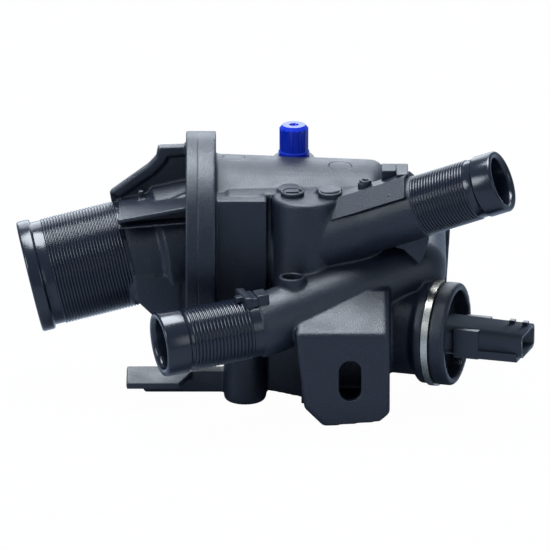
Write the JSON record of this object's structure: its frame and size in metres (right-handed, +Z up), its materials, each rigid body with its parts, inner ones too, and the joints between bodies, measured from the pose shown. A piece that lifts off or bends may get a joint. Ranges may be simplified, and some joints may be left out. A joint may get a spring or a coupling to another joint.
{
  "type": "thermostat housing",
  "caption": "Engine coolant housing in black nylon with a wax valve, hose stubs, a bleed screw and a clipped temperature sensor.",
  "frame": {"origin": "centre of the main coolant port in the engine face", "axes": "+Y out of the main port into the engine, +X along the valve chamber away from the cover, +Z up"},
  "size_m": [0.1713, 0.1013, 0.0889],
  "materials": {
    "black_nylon": "matte",
    "sensor_plastic": "satin",
    "blue_plastic": "satin",
    "seal_rubber": "matte",
    "spring_steel": "satin",
    "brass": "satin"
  },
  "bodies": {
    "housing_body": {"housing": "black_nylon", "inlet_cover": "black_nylon", "port_seal": "seal_rubber", "return_seal": "seal_rubber", "bolt_bush_1": "spring_steel", "bolt_bush_2": "spring_steel", "bolt_bush_3": "spring_steel", "sensor_body": "sensor_plastic", "sensor_probe": "brass", "sensor_seal": "seal_rubber", "sensor_terminals": "spring_steel", "sensor_clip": "spring_steel", "valve_flange": "spring_steel", "valve_seal": "seal_rubber", "valve_bridge": "spring_steel", "valve_cage": "spring_steel", "piston": "spring_steel", "main_spring": "spring_steel"},
    "bleed_lift_body": {"bleed_seal": "seal_rubber"},
    "bleed_screw_body": {"bleed_screw": "blue_plastic"},
    "valve_body": {"valve_plate": "spring_steel", "wax_capsule": "brass"}
  },
  "joints": [
    {"name": "bleed_lift", "type": "slide", "parent": "housing_body", "child": "bleed_lift_body", "axis": [0, 0, 1], "range_m": [0, 0.003]},
    {"name": "bleed_turn", "type": "hinge", "parent": "bleed_lift_body", "child": "bleed_screw_body", "pos_m": [-0.0014, -0.025, 0.024], "axis": [0, 0, 1], "range_deg": [0, 720]},
    {"name": "valve_open", "type": "slide", "parent": "housing_body", "child": "valve_body", "axis": [1, 0, 0], "range_m": [0, 0.0075], "stiffness_N_per_m": 3000, "springref_m": -0.003, "deforming": ["main_spring"]}
  ],
  "couplings": [
    {"joint": "bleed_turn", "follows": "bleed_lift", "rad_per_m": 4188.8}
  ]
}
